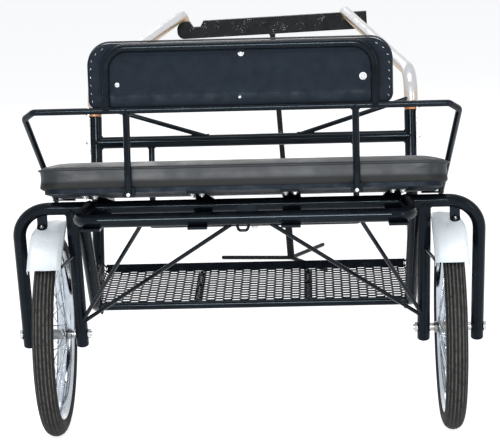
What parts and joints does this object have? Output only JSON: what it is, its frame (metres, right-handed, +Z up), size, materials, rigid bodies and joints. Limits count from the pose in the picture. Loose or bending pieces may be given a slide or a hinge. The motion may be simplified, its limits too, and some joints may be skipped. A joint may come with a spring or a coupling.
{
  "type": "two-wheeled horse cart with shaft stand",
  "caption": "Two-wheeled open horse cart with a padded seat on C springs, mesh floor, wire-spoked wheels, swinging singletree and shafts resting on a stand.",
  "frame": {"origin": "centre of the whole footprint on the ground", "axes": "+X cart right, +Y forward along the shafts, +Z up"},
  "size_m": [1.394, 3.139, 1.215],
  "materials": {
    "black_paint": "gloss black powder coat",
    "tyre_rubber": "matt black rubber",
    "chromed_rim": "polished",
    "hub_metal": "satin steel",
    "zinc_fixings": "zinc plated",
    "black_vinyl": "satin black vinyl",
    "black_board": "satin black board",
    "bright_aluminium": "polished",
    "stand_paint": "worn black paint"
  },
  "bodies": {
    "cart": {"arm_rail": "black_paint", "axle_arch": "black_paint", "axle_nuts": "zinc_fixings", "axle_spacers": "zinc_fixings", "axles": "zinc_fixings", "back_board": "black_board", "back_hoop": "black_paint", "back_pad": "black_vinyl", "fender_stays": "black_paint", "fender_tabs": "black_paint", "fenders": "bright_aluminium", "floor_lip": "black_paint", "floor_members": "black_paint", "floor_mesh": "black_paint", "floor_rear_tube": "black_paint", "floor_side_lips": "black_paint", "front_crossbar": "black_paint", "hanger_bar": "black_paint", "hanger_struts": "black_paint", "inner_legs": "black_paint", "inner_stays": "black_paint", "leg_plugs": "black_paint", "outer_stays": "black_paint", "pivot_bolt": "zinc_fixings", "pivot_washer": "black_paint", "rail_gusset": "black_paint", "rail_supports": "black_paint", "seat_board": "black_board", "seat_carrier": "black_paint", "seat_cushion": "black_vinyl", "seat_springs": "black_paint", "shaft_left": "bright_aluminium", "shaft_right": "bright_aluminium", "shaft_straps": "zinc_fixings", "side_tubes": "black_paint", "stand_bar": "stand_paint", "stand_fork": "stand_paint", "stand_legs": "stand_paint", "stand_pole": "stand_paint", "stand_sleeve": "stand_paint", "tie_loop": "black_paint", "vee_braces": "black_paint"},
    "wheel_left": {"hub_left": "hub_metal", "rim_left": "chromed_rim", "spokes_left": "chromed_rim", "tyre_left": "tyre_rubber"},
    "wheel_right": {"hub_right": "hub_metal", "rim_right": "chromed_rim", "spokes_right": "chromed_rim", "tyre_right": "tyre_rubber"},
    "singletree": {"singletree": "black_paint"}
  },
  "joints": [
    {"name": "left_wheel_spin", "type": "hinge", "parent": "cart", "child": "wheel_left", "pos_m": [-0.5905, -1.09453, 0.305], "axis": [1, 0, 0], "continuous": true},
    {"name": "right_wheel_spin", "type": "hinge", "parent": "cart", "child": "wheel_right", "pos_m": [0.5905, -1.09453, 0.305], "axis": [1, 0, 0], "continuous": true},
    {"name": "singletree_swing", "type": "hinge", "parent": "cart", "child": "singletree", "pos_m": [0, -0.55741, 0.526], "axis": [0, 0, 1], "range_deg": [-20, 20]}
  ]
}
